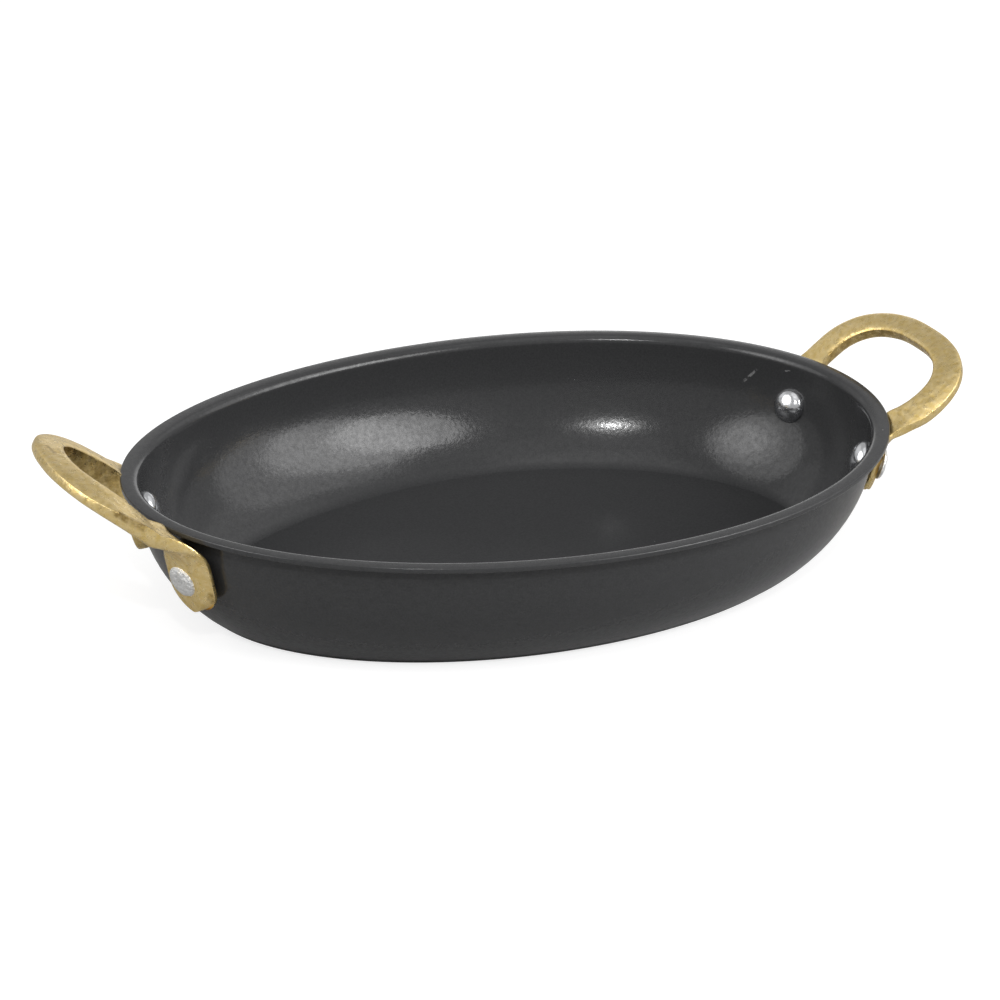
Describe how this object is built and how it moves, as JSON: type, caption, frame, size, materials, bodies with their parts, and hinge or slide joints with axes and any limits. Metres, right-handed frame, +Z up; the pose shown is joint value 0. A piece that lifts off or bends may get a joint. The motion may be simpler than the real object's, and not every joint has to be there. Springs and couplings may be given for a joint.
{
  "type": "mini oval pan",
  "caption": "Small oval pan of dark sheet metal with a flared lip and a riveted cast brass loop handle at each end.",
  "frame": {"origin": "middle of the flat base, level with its underside", "axes": "+X through the right-hand handle, +Y across the pan, away from the camera, +Z up"},
  "size_m": [0.2232, 0.128, 0.0437],
  "materials": {
    "dark_steel": "satin black",
    "cast_brass_right": "cast, lightly tumbled",
    "cast_brass_left": "cast, lightly tumbled",
    "rivet_right_front_aluminium": "polished inside, hammered outside",
    "rivet_right_back_aluminium": "polished inside, hammered outside",
    "rivet_left_front_aluminium": "polished inside, hammered outside",
    "rivet_left_back_aluminium": "polished inside, hammered outside"
  },
  "bodies": {
    "root": {"pan_body": "dark_steel", "handle_right": "cast_brass_right", "handle_left": "cast_brass_left", "rivet_right_front": "rivet_right_front_aluminium", "rivet_right_back": "rivet_right_back_aluminium", "rivet_left_front": "rivet_left_front_aluminium", "rivet_left_back": "rivet_left_back_aluminium"}
  },
  "joints": []
}
